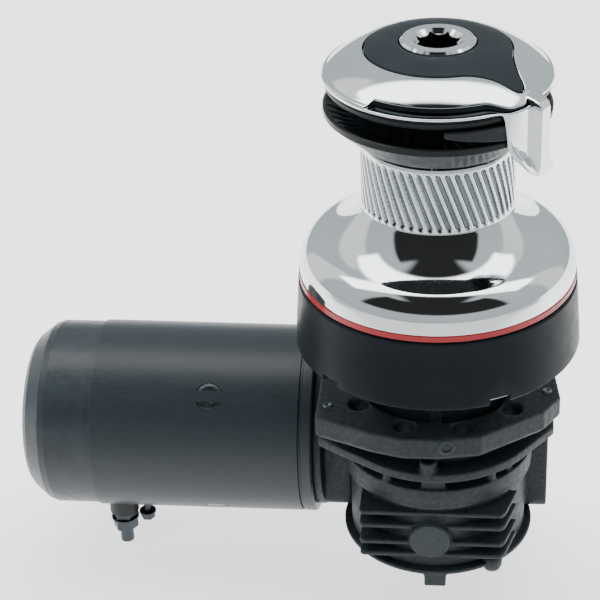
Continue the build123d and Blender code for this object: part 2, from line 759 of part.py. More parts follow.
def make_worm_shaft():
    """Single-start worm with its two journals."""
    lead = math.pi * worm_module
    root = worm_pitch_r - 2.55
    tip = worm_pitch_r + 2.0
    tip_half = 0.9
    root_half = tip_half + (tip - root) * math.tan(math.radians(20))
    points = []
    samples = 48
    for index in range(samples):
        angle = 2 * math.pi * index / samples
        offset = abs((angle / (2 * math.pi) + 0.5) % 1.0 - 0.5) * lead
        share = (offset - tip_half) / (root_half - tip_half)
        radius = tip + (root - tip) * min(1.0, max(0.0, share))
        points.append((radius * math.cos(angle), radius * math.sin(angle)))
    section = Wire.make_polygon([Vector(x, y, 0) for x, y in points], close=True)
    turns = 360 * worm_length / lead
    thread = Solid.extrude_linear_with_rotation(section, (0, 0, 0), (0, 0, worm_length), turns)
    start_turn = -turns / 2
    thread = Pos(0, 0, -worm_length / 2) * Rot(0, 0, start_turn - 90) * thread
    journals = [rod(7, -71, -worm_length / 2), rod(7, worm_length / 2, 48)]
    shape = thread
    for journal in journals:
        shape += journal
    return along_motor(shape)


def make_wheel_bearings():
    return ball_bearing(20 + running, 30, -105, -97) + ball_bearing(20 + running, 30, -77, -69)


def make_shaft_bearings():
    """Ball bearings of the worm shaft and of the armature."""
    places = ((7 + running, 30, 40), (7 + running, -42, -32), (armature_shaft_r + running, -236, -226))
    bearings = [ball_bearing(radius, 16, low, high) for radius, low, high in places]
    return [along_motor(item) for bearing in bearings for item in bearing]


# ---- Motor ---------------------------------------------------------------------------------
def make_motor_neck():
    """Cast neck between the gearbox and the motor."""
    shape = block(neck_start_x, tunnel_start_x, 2, 78, case_bottom_z + 0.5, flange_bottom_z - 0.9)
    shape = fillet(shape.edges().filter_by(Axis.X), 6)
    shape += worm_tunnel(51, neck_start_x, neck_start_x + 5)
    shape -= rod(ring_r + 0.5, case_joint_z - 1, flange_bottom_z)
    return shape - worm_tunnel(14, neck_start_x - 1, tunnel_start_x + 1)


def make_motor_body():
    """Motor shell with the banded flange at its drive end."""
    inner = motor_r - motor_wall
    groove = motor_r - 1.4
    shape = along_motor(lathe((inner, cap_seam_x), (motor_r, cap_seam_x), (motor_r, -80.2),
                              (groove, -79.8), (groove, -78.6), (motor_r, -78.2),
                              (motor_r, neck_start_x - 1), (motor_r - 1, neck_start_x),
                              (14, neck_start_x), (14, -80), (inner, -80)))
    for screw in make_pole_screws():
        shape -= screw
    shape -= rod(stud_shank_r, -150, -120, terminal_x, terminal_y)
    shape -= rod(2.0, -150, earth_bolt_end_z, earth_bolt_x, terminal_y)
    return shape


def make_motor_end_cap():
    """Deep drawn cap over the brush end of the motor."""
    shape = along_motor(lathe((0, motor_end_x), (43.0, motor_end_x), (46.5, motor_end_x + 2.5), (53.2, -231),
                              (end_cap_r, -227), (end_cap_r, cap_seam_x - 1.5), (motor_r, cap_seam_x - 1.5),
                              (motor_r, cap_seam_x), (50, cap_seam_x), (50, -228), (44, -238), (19, -238),
                              (19, -226), (16, -226), (16, -236.5), (0, -236.5)))
    return shape


def make_pole_shoes():
    shoe = sector(50.95, 43.6, -180, -95, -31, 31)
    shoe -= Pos(47, 0, -131.6) * Rot(0, 90, 0) * Cylinder(4, 12)
    return [along_motor(item) for item in ring_of(shoe, 4, 45)]


def make_field_coils():
    coil = sector(50.5, 44.4, -186, -89, 33.5, 56.5)
    return [along_motor(item) for item in ring_of(coil, 4, 45)]


def make_pole_screws():
    """Countersunk cross-head screws that hold the pole shoes."""
    head = Pos(motor_r - 1.3, 0, -131.6) * Rot(0, 90, 0) * Cylinder(8, 2.4)
    shank = Pos(50, 0, -131.6) * Rot(0, 90, 0) * Cylinder(4, 10)
    slots = Pos(motor_r + 0.2, 0, -131.6) * (Box(2.4, 9.0, 2.2) + Box(2.4, 2.2, 9.0))
    return [along_motor(item) for item in ring_of(head + shank - slots, 4, 45)]


def make_armature():
    """Armature shaft, laminated core and winding heads."""
    shape = rod(armature_shaft_r, -235, -83) + rod(12, -83, -71.05)
    core = rod(42.9, -178, -97)
    for slot in ring_of(block(38, 44, -1.1, 1.1, -179, -96), 16):
        core -= slot
    shape += core
    shape += lathe((0, -190), (24, -190), (36, -186), (36, -178), (0, -178))
    shape += lathe((0, -97), (36, -97), (36, -89), (24, -85), (0, -85))
    return along_motor(shape)


def make_commutator():
    bars = [sector(20, armature_shaft_r, -214, -190, 15 * i + 0.8, 15 * i + 14.2) for i in range(24)]
    return [along_motor(bar) for bar in bars]


def make_brush_holder():
    """Insulated plate with a guide box for each brush."""
    plate = tube(49.8, 24, -219.5, -215.5)
    guide = block(22, 44, -6.2, 6.2, -215.5, -197) - block(21, 45, -4.3, 4.3, -213.3, -198.7)
    for item in ring_of(guide, 4):
        plate += item
    return along_motor(plate)


def make_brushes():
    brush = block(20.1, 33, -4.2, 4.2, -213.2, -198.8)
    return [along_motor(item) for item in ring_of(brush, 4)]


def make_brush_springs():
    spring = Pos(38.5, 0, -206) * Rot(0, 90, 0) * (Cylinder(3.2, 10.8) - Cylinder(2.4, 12))
    return [along_motor(item) for item in ring_of(spring, 4)]


def make_terminal_stud():
    """Stud with its nuts and washer, and the earth bolt; the stud's free end takes the ring lug."""
    def nut(radius, low, high):
        hexagon = Pos(terminal_x, terminal_y, low) * extrude(RegularPolygon(radius, 6), high - low)
        return hexagon - rod(stud_shank_r, low - 1, high + 1, terminal_x, terminal_y)

    hole = rod(stud_shank_r, -148, -145, terminal_x, terminal_y)
    washer = rod(8.2, -147.4, -146, terminal_x, terminal_y) - hole
    stud = rod(stud_r, terminal_end_z, stud_free_z, terminal_x, terminal_y)
    stud += rod(stud_shank_r, stud_free_z, -124, terminal_x, terminal_y)
    earth_bolt = Pos(earth_bolt_x, terminal_y, -147.0) * extrude(RegularPolygon(4.2, 6), 4.0)
    earth_bolt += rod(5.0, -143.0, -142.0, earth_bolt_x, terminal_y)
    earth_bolt += rod(2.0, -142.0, earth_bolt_end_z, earth_bolt_x, terminal_y)
    return [stud, nut(7.5, -146, -141.5), washer, nut(7.5, -153.9, -147.4), earth_bolt]


def make_terminal_insulator():
    """Insulating collar between the stud and the motor shell."""
    collar = rod(8.6, -141.5, -125, terminal_x, terminal_y)
    collar -= rod(stud_shank_r, -142, -120, terminal_x, terminal_y)
    return collar - worm_tunnel(motor_r, cap_seam_x, neck_start_x)


# ---- Export --------------------------------------------------------------------------------
os.makedirs("parts", exist_ok=True)

write("base", make_base())
write("base_skirt", make_skirt())
write("stem_retainer", tube(36.5, stem_neck_r, stem_shoulder_z, 149))
write("low_spindle", rod(spindle_r, 0, 59, low_x, low_y))
write("high_spindle", rod(spindle_r, 0, 59, high_x, high_y))
write("idler_spindle", rod(idler_spindle_r, 0, 59, idler_x, idler_y))
write("shaft_bushes", make_shaft_bushes())
write("top_cover", make_top_cover())
write("cover_insert", make_cover_insert())
write("line_feeder", make_line_feeder())
write("cover_screws", make_cover_screws())
write("drum", make_drum())
write("stripe_ring", tube(stripe_r, 72.8, stripe_low_z, stripe_top_z))
write("upper_jaw", make_upper_jaw())
write("jaw_screws", make_jaw_screws())
write("lower_jaw", make_lower_jaw())
write("jaw_springs", make_jaw_springs())
write("upper_bearing", make_bearing(96, 114))
write("lower_bearing", make_bearing(66, 84))
write("main_shaft", make_main_shaft())
write("handle_socket", make_handle_socket())
write("low_gear", make_low_gear())
write("low_pinion", make_low_pinion())
write("high_cluster", make_high_cluster())
write("idler_gear", make_idler_gear())
write("high_wheel", make_high_wheel())

shaft_pawls = ring_of(pawl(high_z + 1.6, high_z + 8.4, False), 2)
pinion_pawls = ring_of(pawl(low_z + 1.8, low_z + 8.6, True), 2)
for side, shaft_pawl, pinion_pawl in zip("ab", shaft_pawls, pinion_pawls):
    write(f"shaft_pawl_{side}", shaft_pawl)
    write(f"pinion_pawl_{side}", Pos(low_x, low_y, 0) * pinion_pawl)
write("shaft_pawl_pins", pawl_pins(high_z, high_z + face - 0.2, False))
write("pinion_pawl_pins", [Pos(low_x, low_y, 0) * pin for pin in pawl_pins(low_z + 0.2, low_z + face, True)])

write("adapter_plate", make_adapter_plate())
write("plate_screws", make_plate_screws())
write("gearbox_flange", make_gearbox_flange())
write("flange_screws", make_flange_screws())
write("gear_housing", make_gear_housing())
write("housing_plug", make_housing_plug())
write("bottom_cover", make_bottom_cover())
write("bottom_screws", make_bottom_screws())
write("tunnel_cap", make_tunnel_cap())
write("worm_wheel", make_worm_wheel())
write("wheel_bearings", make_wheel_bearings())
write("overrunning_clutch", make_clutch())
write("worm_shaft", make_worm_shaft())
write("shaft_bearings", make_shaft_bearings())
write("shaft_seal", tube(18, shaft_r + running, -50, plate_bottom_z))

write("motor_neck", make_motor_neck())
write("motor_body", make_motor_body())
write("motor_end_cap", make_motor_end_cap())
write("pole_shoes", make_pole_shoes())
write("field_coils", make_field_coils())
write("pole_screws", make_pole_screws())
write("armature", make_armature())
write("commutator", make_commutator())
write("brush_holder", make_brush_holder())
write("brushes", make_brushes())
write("brush_springs", make_brush_springs())
write("terminal_stud", make_terminal_stud())
write("terminal_insulator", make_terminal_insulator())
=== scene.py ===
"""Looks of the electric self-tailing winch: meshes, materials, light and camera."""

import json
import math

import bmesh
import bpy
import numpy as np
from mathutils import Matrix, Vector


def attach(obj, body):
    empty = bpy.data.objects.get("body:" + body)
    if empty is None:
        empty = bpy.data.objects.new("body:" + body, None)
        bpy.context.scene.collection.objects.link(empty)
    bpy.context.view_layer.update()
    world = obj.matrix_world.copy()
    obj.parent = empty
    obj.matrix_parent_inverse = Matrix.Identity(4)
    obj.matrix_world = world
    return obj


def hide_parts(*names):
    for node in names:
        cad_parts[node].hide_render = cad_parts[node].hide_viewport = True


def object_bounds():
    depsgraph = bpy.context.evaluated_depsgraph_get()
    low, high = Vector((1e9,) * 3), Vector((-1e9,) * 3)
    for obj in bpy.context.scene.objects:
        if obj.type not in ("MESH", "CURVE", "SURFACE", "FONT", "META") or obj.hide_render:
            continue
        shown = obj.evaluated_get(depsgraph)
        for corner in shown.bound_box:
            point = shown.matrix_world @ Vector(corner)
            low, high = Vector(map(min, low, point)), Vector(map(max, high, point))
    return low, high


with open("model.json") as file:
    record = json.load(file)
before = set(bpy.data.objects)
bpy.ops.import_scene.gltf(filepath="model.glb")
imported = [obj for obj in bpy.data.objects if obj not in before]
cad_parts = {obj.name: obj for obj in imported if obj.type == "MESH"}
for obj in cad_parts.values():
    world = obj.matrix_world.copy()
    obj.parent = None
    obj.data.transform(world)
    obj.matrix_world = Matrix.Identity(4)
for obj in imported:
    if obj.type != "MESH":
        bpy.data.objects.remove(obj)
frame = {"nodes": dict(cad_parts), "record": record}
cad_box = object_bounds()

MM = 0.001

# ---- Driving dimensions, in millimetres, as in the CAD model ---------------------------------
MOTOR_Y = 40.0
MOTOR_Z = -87.0
MOTOR_R = 55.4
POLE_SCREW_X = -131.6
POLE_SCREWS = 4

RIM_R = 75.0
BORE_R = 34.0
NECK_R = 37.0
RIBBED_R = 41.2           # over the ribs of the waist
COLLAR_R = 41.0
GROOVE_DEPTH = 1.5
GROOVE_HALF = 1.25        # half width of the slots between the ribs
RIB_COUNT = 52
RIB_LEAN = 20.0
RIB_LOW = 87.2            # centres of the slots' round ends
RIB_TOP = 116.6
COLUMNS_PER_RIB = 14      # mesh columns for one rib and one slot
SLOT_EDGE = 0.75          # half width of the rounding at a slot's edge
SLOT_SHADED = 0.55        # share of the full depth beyond which a slot gets painted shade

CAP_R = 60.0
CAP_BOTTOM = 157.1
DOME_TOP = 173.4
DOME_TOP_R = 10.0         # radius of the flat middle of the dome
HUB_R = 27.0
SOCKET_BORE_R = 20.4
INSERT_R = 38.0
TIP_R = 54.8              # tip of the insert's tail
TIP_ROUND = 5.8
TAIL_ANGLE = -38.0
INSERT_DEPTH = 3.0
INSERT_GAP = 0.7

JAW_TEETH = 48
TOOTH_INNER = (44.2, 135.6, 0.9, 2.6)   # radius, height, half width and rise of a tooth
TOOTH_OUTER = (57.6, 141.1, 0.6, 0.5)
TOOTH_ROOT = 0.4          # depth of a tooth's foot in the jaw
FEEDER_START = -84.0      # direction of the feeder's nose, in degrees
FEEDER_SWEEP = 33.0
FEEDER_TOP = 150.6


# ---- Material tools --------------------------------------------------------------------------
def srgb(hex_code):
    """Linear colour from an sRGB code such as 3c444b."""
    channels = [int(hex_code[i:i + 2], 16) / 255 for i in (0, 2, 4)]
    linear = [c / 12.92 if c <= 0.04045 else ((c + 0.055) / 1.055) ** 2.4 for c in channels]
    return (*linear, 1.0)


class Recipe:
    """A node material under construction."""

    def __init__(self, name, **sockets):
        self.material = bpy.data.materials.new(name)
        self.material.use_nodes = True
        self.tree = self.material.node_tree
        self.tree.nodes.clear()
        self.shader = self.tree.nodes.new("ShaderNodeBsdfPrincipled")
        output = self.tree.nodes.new("ShaderNodeOutputMaterial")
        self.tree.links.new(self.shader.outputs[0], output.inputs[0])
        self.coordinates = self.tree.nodes.new("ShaderNodeTexCoord").outputs["Object"]
        for socket, value in sockets.items():
            self.shader.inputs[socket.replace("_", " ")].default_value = value

    def add(self, kind, **sockets):
        node = self.tree.nodes.new(kind)
        for socket, value in sockets.items():
            node.inputs[socket.replace("_", " ")].default_value = value
        return node

    def link(self, output, target):
        self.tree.links.new(output, target)

    def noise(self, scale, detail=3.0, roughness=0.5, stretch=None):
        """Noise in object space, with scale in cells per metre."""
        node = self.add("ShaderNodeTexNoise", Scale=scale, Detail=detail, Roughness=roughness)
        source = self.coordinates
        if stretch:
            mapping = self.add("ShaderNodeMapping", Scale=stretch)
            self.link(source, mapping.inputs["Vector"])
            source = mapping.outputs["Vector"]
        self.link(source, node.inputs["Vector"])
        return node.outputs["Fac"]

    def spread(self, factor, low, high, from_low=0.3, from_high=0.7):
        """Maps a factor onto a range of numbers."""
        node = self.add("ShaderNodeMapRange")
        self.link(factor, node.inputs["Value"])
        for name, value in (("From Min", from_low), ("From Max", from_high),
                            ("To Min", low), ("To Max", high)):
            node.inputs[name].default_value = value
        return node.outputs["Result"]

    def ramp(self, factor, *stops):
        node = self.add("ShaderNodeValToRGB")
        elements = node.color_ramp.elements
        while len(elements) < len(stops):
            elements.new(0.5)
        for element, (place, colour) in zip(elements, stops):
            element.position = place
            element.color = colour
        self.link(factor, node.inputs["Fac"])
        return node.outputs["Color"]

    def blend(self, factor, first, second):
        """Mix of two colours or colour outputs."""
        node = self.add("ShaderNodeMix")
        node.data_type = "RGBA"
        self.link(factor, node.inputs["Factor"])
        for value, socket in ((first, node.inputs[6]), (second, node.inputs[7])):
            if isinstance(value, tuple):
                socket.default_value = value
            else:
                self.link(value, socket)
        return node.outputs[2]

    def colour(self, output):
        self.link(output, self.shader.inputs["Base Color"])

    def roughness(self, output):
        self.link(output, self.shader.inputs["Roughness"])

    def bump(self, height, strength, distance, previous=None):
        node = self.add("ShaderNodeBump", Strength=strength, Distance=distance)
        self.link(height, node.inputs["Height"])
        if previous:
            self.link(previous, node.inputs["Normal"])
        self.link(node.outputs["Normal"], self.shader.inputs["Normal"])
        return node.outputs["Normal"]

    def edge_wear(self, amount):
        """Factor that rises to the amount on convex edges."""
        geometry = self.add("ShaderNodeNewGeometry")
        return self.spread(geometry.outputs["Pointiness"], 0.0, amount, 0.52, 0.62)

    def shine(self, level):
        self.shader.inputs["Specular IOR Level"].default_value = level


def grey(value):
    return (value, value, value, 1.0)


def chrome(name):
    """Polished plate, with painted shade that darkens it in corners and slots."""
    recipe = Recipe(name, Metallic=1.0)
    plate = recipe.ramp(recipe.noise(14, 2), (0.35, srgb("dde2e4")), (0.65, srgb("e6eaeb")))
    geometry = recipe.add("ShaderNodeNewGeometry")
    # Painted shade: concave places blend towards dark grey.
    painted_hollow_shade = recipe.spread(geometry.outputs["Pointiness"], 1.0, 0.0, 0.40, 0.485)
    recipe.colour(recipe.blend(painted_hollow_shade, plate, srgb("2a3136")))
    recipe.roughness(recipe.spread(recipe.noise(90, 4, 0.6), 0.035, 0.065))
    recipe.bump(recipe.noise(260, 2), 0.02, 0.0002)
    return recipe.material


def painted_shade_metal(name, colour, lighter):
    """Dark plated metal whose base colour paints shade and dark reflection into recesses and slots.
    """
    recipe = Recipe(name, Metallic=1.0)
    recipe.colour(recipe.ramp(recipe.noise(40, 3), (0.3, srgb(colour)), (0.7, srgb(lighter))))
    recipe.roughness(recipe.spread(recipe.noise(120, 3), 0.08, 0.2))
    return recipe.material


def moulded(name, colour, lighter, gloss=0.38, grain=900, depth=0.25, shine=0.22):
    """Satin moulded plastic with a fine grain and slightly worn edges."""
    recipe = Recipe(name)
    recipe.shine(shine)
    base = recipe.ramp(recipe.noise(30, 4), (0.3, srgb(colour)), (0.7, srgb(lighter)))
    recipe.colour(recipe.blend(recipe.edge_wear(0.3), base, srgb("3a4044")))
    recipe.roughness(recipe.spread(recipe.noise(160, 3), gloss - 0.05, gloss + 0.07))
    recipe.bump(recipe.noise(grain, 2), depth, 0.00012)
    return recipe.material


def cast_paint(name, colour, lighter, gloss=0.5, depth=0.6):
    """Paint over a sand-cast surface: coarse grain and small pits."""
    recipe = Recipe(name)
    recipe.shine(0.3)
    mottled = recipe.ramp(recipe.noise(420, 5, 0.65), (0.35, srgb(colour)), (0.68, srgb(lighter)))
    recipe.colour(recipe.blend(recipe.edge_wear(0.55), mottled, srgb("4a5258")))
    recipe.roughness(recipe.spread(recipe.noise(350, 3), gloss - 0.09, gloss + 0.12))
    fine = recipe.bump(recipe.noise(1100, 3, 0.6), depth, 0.0002)
    recipe.bump(recipe.noise(330, 4, 0.6), depth * 0.6, 0.0004, fine)
    return recipe.material


def orange_peel(name, colour, lighter, gloss=0.34):
    """Thick satin paint on drawn steel, with a leathery skin."""
    recipe = Recipe(name)
    recipe.shine(0.4)
    recipe.colour(recipe.ramp(recipe.noise(55, 4, 0.6), (0.3, srgb(colour)), (0.7, srgb(lighter))))
    recipe.roughness(recipe.spread(recipe.noise(240, 3), gloss - 0.05, gloss + 0.08))
    skin = recipe.bump(recipe.noise(330, 3, 0.55), 0.35, 0.0004)
    recipe.bump(recipe.noise(900, 2), 0.2, 0.0002, skin)
    return recipe.material


def brushed_paint(name, colour, lighter, gloss=0.36):
    """Satin paint over a turned shell: fine lines run round the shell."""
    recipe = Recipe(name)
    recipe.shine(0.35)
    lines = recipe.noise(60, 4, 0.6, stretch=(3.0, 45.0, 45.0))
    recipe.colour(recipe.ramp(lines, (0.3, srgb(colour)), (0.7, srgb(lighter))))
    recipe.roughness(recipe.spread(lines, gloss - 0.06, gloss + 0.08))
    skin = recipe.bump(recipe.noise(500, 3), 0.22, 0.0003)
    recipe.bump(lines, 0.12, 0.0002, skin)
    return recipe.material


def machined(name, colour, lighter, gloss):
    """Turned or ground metal with fine tool marks."""
    recipe = Recipe(name, Metallic=1.0)
    marks = recipe.noise(300, 3, 0.6, stretch=(1.0, 1.0, 14.0))
    recipe.colour(recipe.ramp(marks, (0.3, srgb(colour)), (0.7, srgb(lighter))))
    recipe.roughness(recipe.spread(marks, gloss - 0.08, gloss + 0.1))
    recipe.bump(marks, 0.08, 0.0001)
    return recipe.material


MATERIALS = {
    "chrome": chrome("chrome_plate"),
    "black_plastic": moulded("skirt_plastic", "14191c", "1a2023", 0.34, shine=0.08),
    "slate_plastic": moulded("insert_plastic", "1f2529", "242b2f", 0.5, shine=0.15),
    "red_plastic": moulded("red_stripe", "b3161c", "c01d22", 0.2, 500, 0.08, 0.4),
    "jaw_plastic": moulded("jaw_plastic", "090c0e", "101416", 0.3),
    "base_metal": machined("base_alloy", "8f9294", "a4a7a9", 0.4),
    "gear_steel": machined("gear_steel", "77797b", "8c8e90", 0.3),
    "stainless": machined("stainless", "9fa1a3", "b4b6b8", 0.25),
    "bronze": machined("bronze", "8a6034", "a5773f", 0.3),
    "cast_paint": cast_paint("cast_paint", "1a2023", "293135"),
    "motor_paint": brushed_paint("motor_paint", "22292d", "2d353a"),
    "seal_rubber": moulded("seal_rubber", "0f1112", "161819", 0.6),
    "zinc_steel": machined("zinc_steel", "3a3e41", "50555a", 0.4),
    "copper": machined("copper", "9a5a33", "b06a3c", 0.3),
    "insulator": moulded("insulator", "1c1a19", "262423", 0.45),
    "carbon": moulded("carbon", "202122", "2a2b2c", 0.6),
    "end_cap_paint": orange_peel("end_cap_paint", "242b2f", "30383d"),
    "feeder_plastic": moulded("feeder_plastic", "1d2326", "252b2f", 0.3, 700, 0.15),
    "screw_steel": machined("screw_steel", "5d656a", "7b8388", 0.3),
    # Painted shade for the band that lines the cap's recess.
    "recess_painted_shade": painted_shade_metal("recess_painted_shade", "171b1e", "2b3135"),
    # Painted shade for the deep parts of the drum's slots.
    "slot_shade": painted_shade_metal("slot_shade", "5b6367", "7b8488"),
}


# ---- Mesh tools ------------------------------------------------------------------------------
def smoothstep(value, low, high):
    """0 at low, 1 at high, smooth between; low may be above high."""
    share = np.clip((value - low) / (high - low), 0.0, 1.0)
    return share * share * (3.0 - 2.0 * share)


def rounded(values, sigma):
    """Gaussian smoothing of a list of numbers, in steps of the list."""
    reach = int(3 * sigma) + 1
    kernel = np.exp(-0.5 * (np.arange(-reach, reach + 1) / sigma) ** 2)
    padded = np.concatenate([np.full(reach, values[0]), values, np.full(reach, values[-1])])
    return np.convolve(padded, kernel / kernel.sum(), mode="valid")


def circle_through(first, second, third):
    """Centre and radius of the circle through three points."""
    matrix = 2 * np.array([np.subtract(second, first), np.subtract(third, first)])
    squares = [np.dot(point, point) for point in (first, second, third)]
    centre = np.linalg.solve(matrix, [squares[1] - squares[0], squares[2] - squares[0]])
    return centre, float(np.hypot(*(np.array(first) - centre)))


def arc(first, second, third, count):
    """Points from first through second to third, without the first."""
    centre, radius = circle_through(first, second, third)
    angles = [math.atan2(point[1] - centre[1], point[0] - centre[0]) for point in (first, third)]
    turn = (angles[1] - angles[0] + math.pi) % (2 * math.pi) - math.pi
    steps = angles[0] + turn * np.arange(1, count + 1) / count
    return [(centre[0] + radius * math.cos(a), centre[1] + radius * math.sin(a)) for a in steps]


def grid_mesh(name, points):
    """Closed mesh from a grid of points in millimetres, joined end to end in both directions."""
    columns, rows = points.shape[:2]
    index = np.arange(columns * rows).reshape(columns, rows)
    right = np.roll(index, -1, axis=0)
    above = [np.roll(side, -1, axis=1) for side in (right, index)]
    faces = np.stack([index, right, *above], axis=-1)
    mesh = bpy.data.meshes.new(name)
    mesh.from_pydata((points.reshape(-1, 3) * MM).tolist(), [], faces.reshape(-1, 4).tolist())
    mesh.update()
    return mesh


def turned(radii, heights, angles):
    """Grid of points from radius, height and direction, each with one row per direction."""
    return np.stack([radii * np.cos(angles), radii * np.sin(angles), heights], axis=-1)


def close_mesh(name, shape):
    """Turns a finished BMesh into a mesh with its faces outwards."""
    bmesh.ops.recalc_face_normals(shape, faces=shape.faces)
    mesh = bpy.data.meshes.new(name)
    shape.to_mesh(mesh)
    shape.free()
    return mesh


def add_piece(name, mesh, body, slot, replaces=(), material=None):
    """Links a finished mesh, smooths it, and lets it ride on its body."""
    piece = bpy.data.objects.new(name, mesh)
    bpy.context.collection.objects.link(piece)
    mesh.materials.clear()
    mesh.materials.append(material or MATERIALS[slot])
    mesh.shade_smooth()
    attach(piece, body)
    if replaces:
        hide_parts(*replaces)
    return piece


def face_outwards(mesh, join=0.0):
    """Turns the faces outwards, then joins points closer than the given distance in metres."""
    shape = bmesh.new()
    shape.from_mesh(mesh)
    bmesh.ops.recalc_face_normals(shape, faces=shape.faces)
    if join:
        bmesh.ops.remove_doubles(shape, verts=shape.verts, dist=join)
    shape.to_mesh(mesh)
    shape.free()
    return mesh


# ---- Drum ------------------------------------------------------------------------------------
def drum_profile():
    """Closed outline of the drum as radius and height, with close pairs at the sharp corners."""
    profile = [(60.5, 52.3), (60.5, 40.0), (74.4, 39.9), (74.9, 40.1), (RIM_R, 40.5), (RIM_R, 40.6),
               (72.9, 40.6), (72.8, 40.8), (72.8, 43.4), (72.9, 43.6), (RIM_R - 0.1, 43.6),
               (RIM_R, 43.7), (RIM_R, 45.0), (RIM_R, 48.0), (RIM_R, 51.2), (RIM_R - 0.15, 51.8)]
    profile += arc((RIM_R - 0.3, 52.1), (71.6, 58.6), (64, 64.2), 14)
    profile += [point for point in arc((64, 64.2), (47.8, 75.2), (39.7, 88), 30)
                if point[0] > RIBBED_R]
    slot_low = profile[-1][1] + 0.6
    profile += [(RIBBED_R, z) for z in np.arange(slot_low, 119.3, 0.7)]
    profile += [(RIBBED_R, 119.6), (COLLAR_R, 119.9), (COLLAR_R, 120.9), (COLLAR_R - 0.2, 121.1),
                (NECK_R, 121.1), (NECK_R, 145.6), (BORE_R, 145.6), (BORE_R, 63.5), (60.0, 60.0)]
    return np.array(profile)


def slot_depth(height, angle):
    """Depth of the leaning round-ended slots of the waist at a place on the drum."""
    pitch = 2 * math.pi / RIB_COUNT
    lean = math.radians(RIB_LEAN)
    turn = angle + math.tan(lean) * (height - (RIB_LOW + RIB_TOP) / 2) / RIBBED_R
    across = (((turn / pitch) % 1.0) - 0.5) * pitch * RIBBED_R * math.cos(lean)
    beyond = np.maximum(np.maximum(RIB_LOW - height, height - RIB_TOP), 0.0)
    distance = np.hypot(across, beyond)
    return GROOVE_DEPTH * smoothstep(distance, GROOVE_HALF + SLOT_EDGE, GROOVE_HALF - SLOT_EDGE)


def make_drum():
    profile = drum_profile()
    angles = np.radians(np.arange(0, 360, 360 / (RIB_COUNT * COLUMNS_PER_RIB)))[:, None]
    radii = np.repeat(profile[None, :, 0], len(angles), axis=0)
    heights = np.repeat(profile[None, :, 1], len(angles), axis=0)
    waist = (heights > RIB_LOW - 4) & (heights < 119.7) & (radii > COLLAR_R - 0.5)
    depth = np.where(waist, slot_depth(heights, angles), 0.0)
    mesh = face_outwards(grid_mesh("drum_shell", turned(radii - depth, heights, angles)))
    add_piece("drum_shell", mesh, "drum", "chrome", ["drum"])
    # Faces deep in the slots take a darker metal: painted shade.
    mesh.materials.append(MATERIALS["slot_shade"])
    shaded = (depth > SLOT_SHADED * GROOVE_DEPTH).astype(np.int32)
    mesh.polygons.foreach_set("material_index", shaded.ravel())


# ---- Cap, line guide arm and insert ----------------------------------------------------------
DOME_CENTRE, DOME_RADIUS = circle_through((CAP_R, 158.3), (51.0, 165.3), (DOME_TOP_R, DOME_TOP))


def dome_height(radius):
    inside = np.maximum(DOME_RADIUS ** 2 - (radius - DOME_CENTRE[0]) ** 2, 0.0)
    return np.where(radius < DOME_TOP_R, DOME_TOP, DOME_CENTRE[1] + np.sqrt(inside))


def insert_radius(degrees):
    """Distance of the insert's teardrop outline from the axis in each direction."""
    spread = math.radians(32)
    shoulder = (INSERT_R * math.cos(spread), INSERT_R * math.sin(spread))
    tip_centre = TIP_R - TIP_ROUND
    outline = [shoulder] + arc(shoulder, (40.5, 11.6), (tip_centre, TIP_ROUND), 12)
    outline += [(tip_centre + TIP_ROUND * math.sin(t), TIP_ROUND * math.cos(t))
                for t in np.radians(np.arange(10, 91, 10))]
    turns = [math.degrees(math.atan2(y, x)) for x, y in outline]
    distances = [math.hypot(x, y) for x, y in outline]
    away = np.abs((degrees - TAIL_ANGLE + 180) % 360 - 180)
    table = np.arange(0, 181, 0.5)
    radii = rounded(np.interp(table, turns[::-1], distances[::-1]), 3)
    mirrored = np.concatenate([radii[:0:-1], radii])
    mirrored = rounded(mirrored, 2)
    return np.interp(away, table, mirrored[len(radii) - 1:])


def cap_directions():
    """Directions of the cap's mesh columns in degrees, close together round the arm."""
    coarse = np.concatenate([np.arange(-180, -130, 1.5), np.arange(-130, -118, 0.4),
                             np.arange(-118, -66, 1.2), np.arange(-16, 180, 1.5)])
    fine = np.arange(-66, -16, 0.25)
    return np.sort(np.concatenate([coarse, fine]))


def arm_bottom(degrees):
    """Height of the cap's lower edge, which drops at the arm."""
    edge = ((-54.6, CAP_BOTTOM), (-54.0, 152.0), (-53.3, 142.5), (-52.2, 135.5), (-49.0, 130.3),
            (-45.5, 126.0), (-42.0, 121.5), (-38.0, 118.0), (-33.0, 115.4), (-29.6, 115.0),
            (-28.9, 117.0), (-28.2, 148.0), (-27.7, CAP_BOTTOM))
    return np.interp(degrees, *zip(*edge))


def blend_rows(first, second, share):
    return [a * (1 - share) + b * share for a, b in zip(first, second)]


def recess_share(degrees):
    """1 where the recess runs under the dome's front edge, 0 elsewhere; the recess band is darkened
    with painted shade.
    """
    return smoothstep(degrees, -125.0, -121.0) * smoothstep(degrees, -37.5, -41.0)


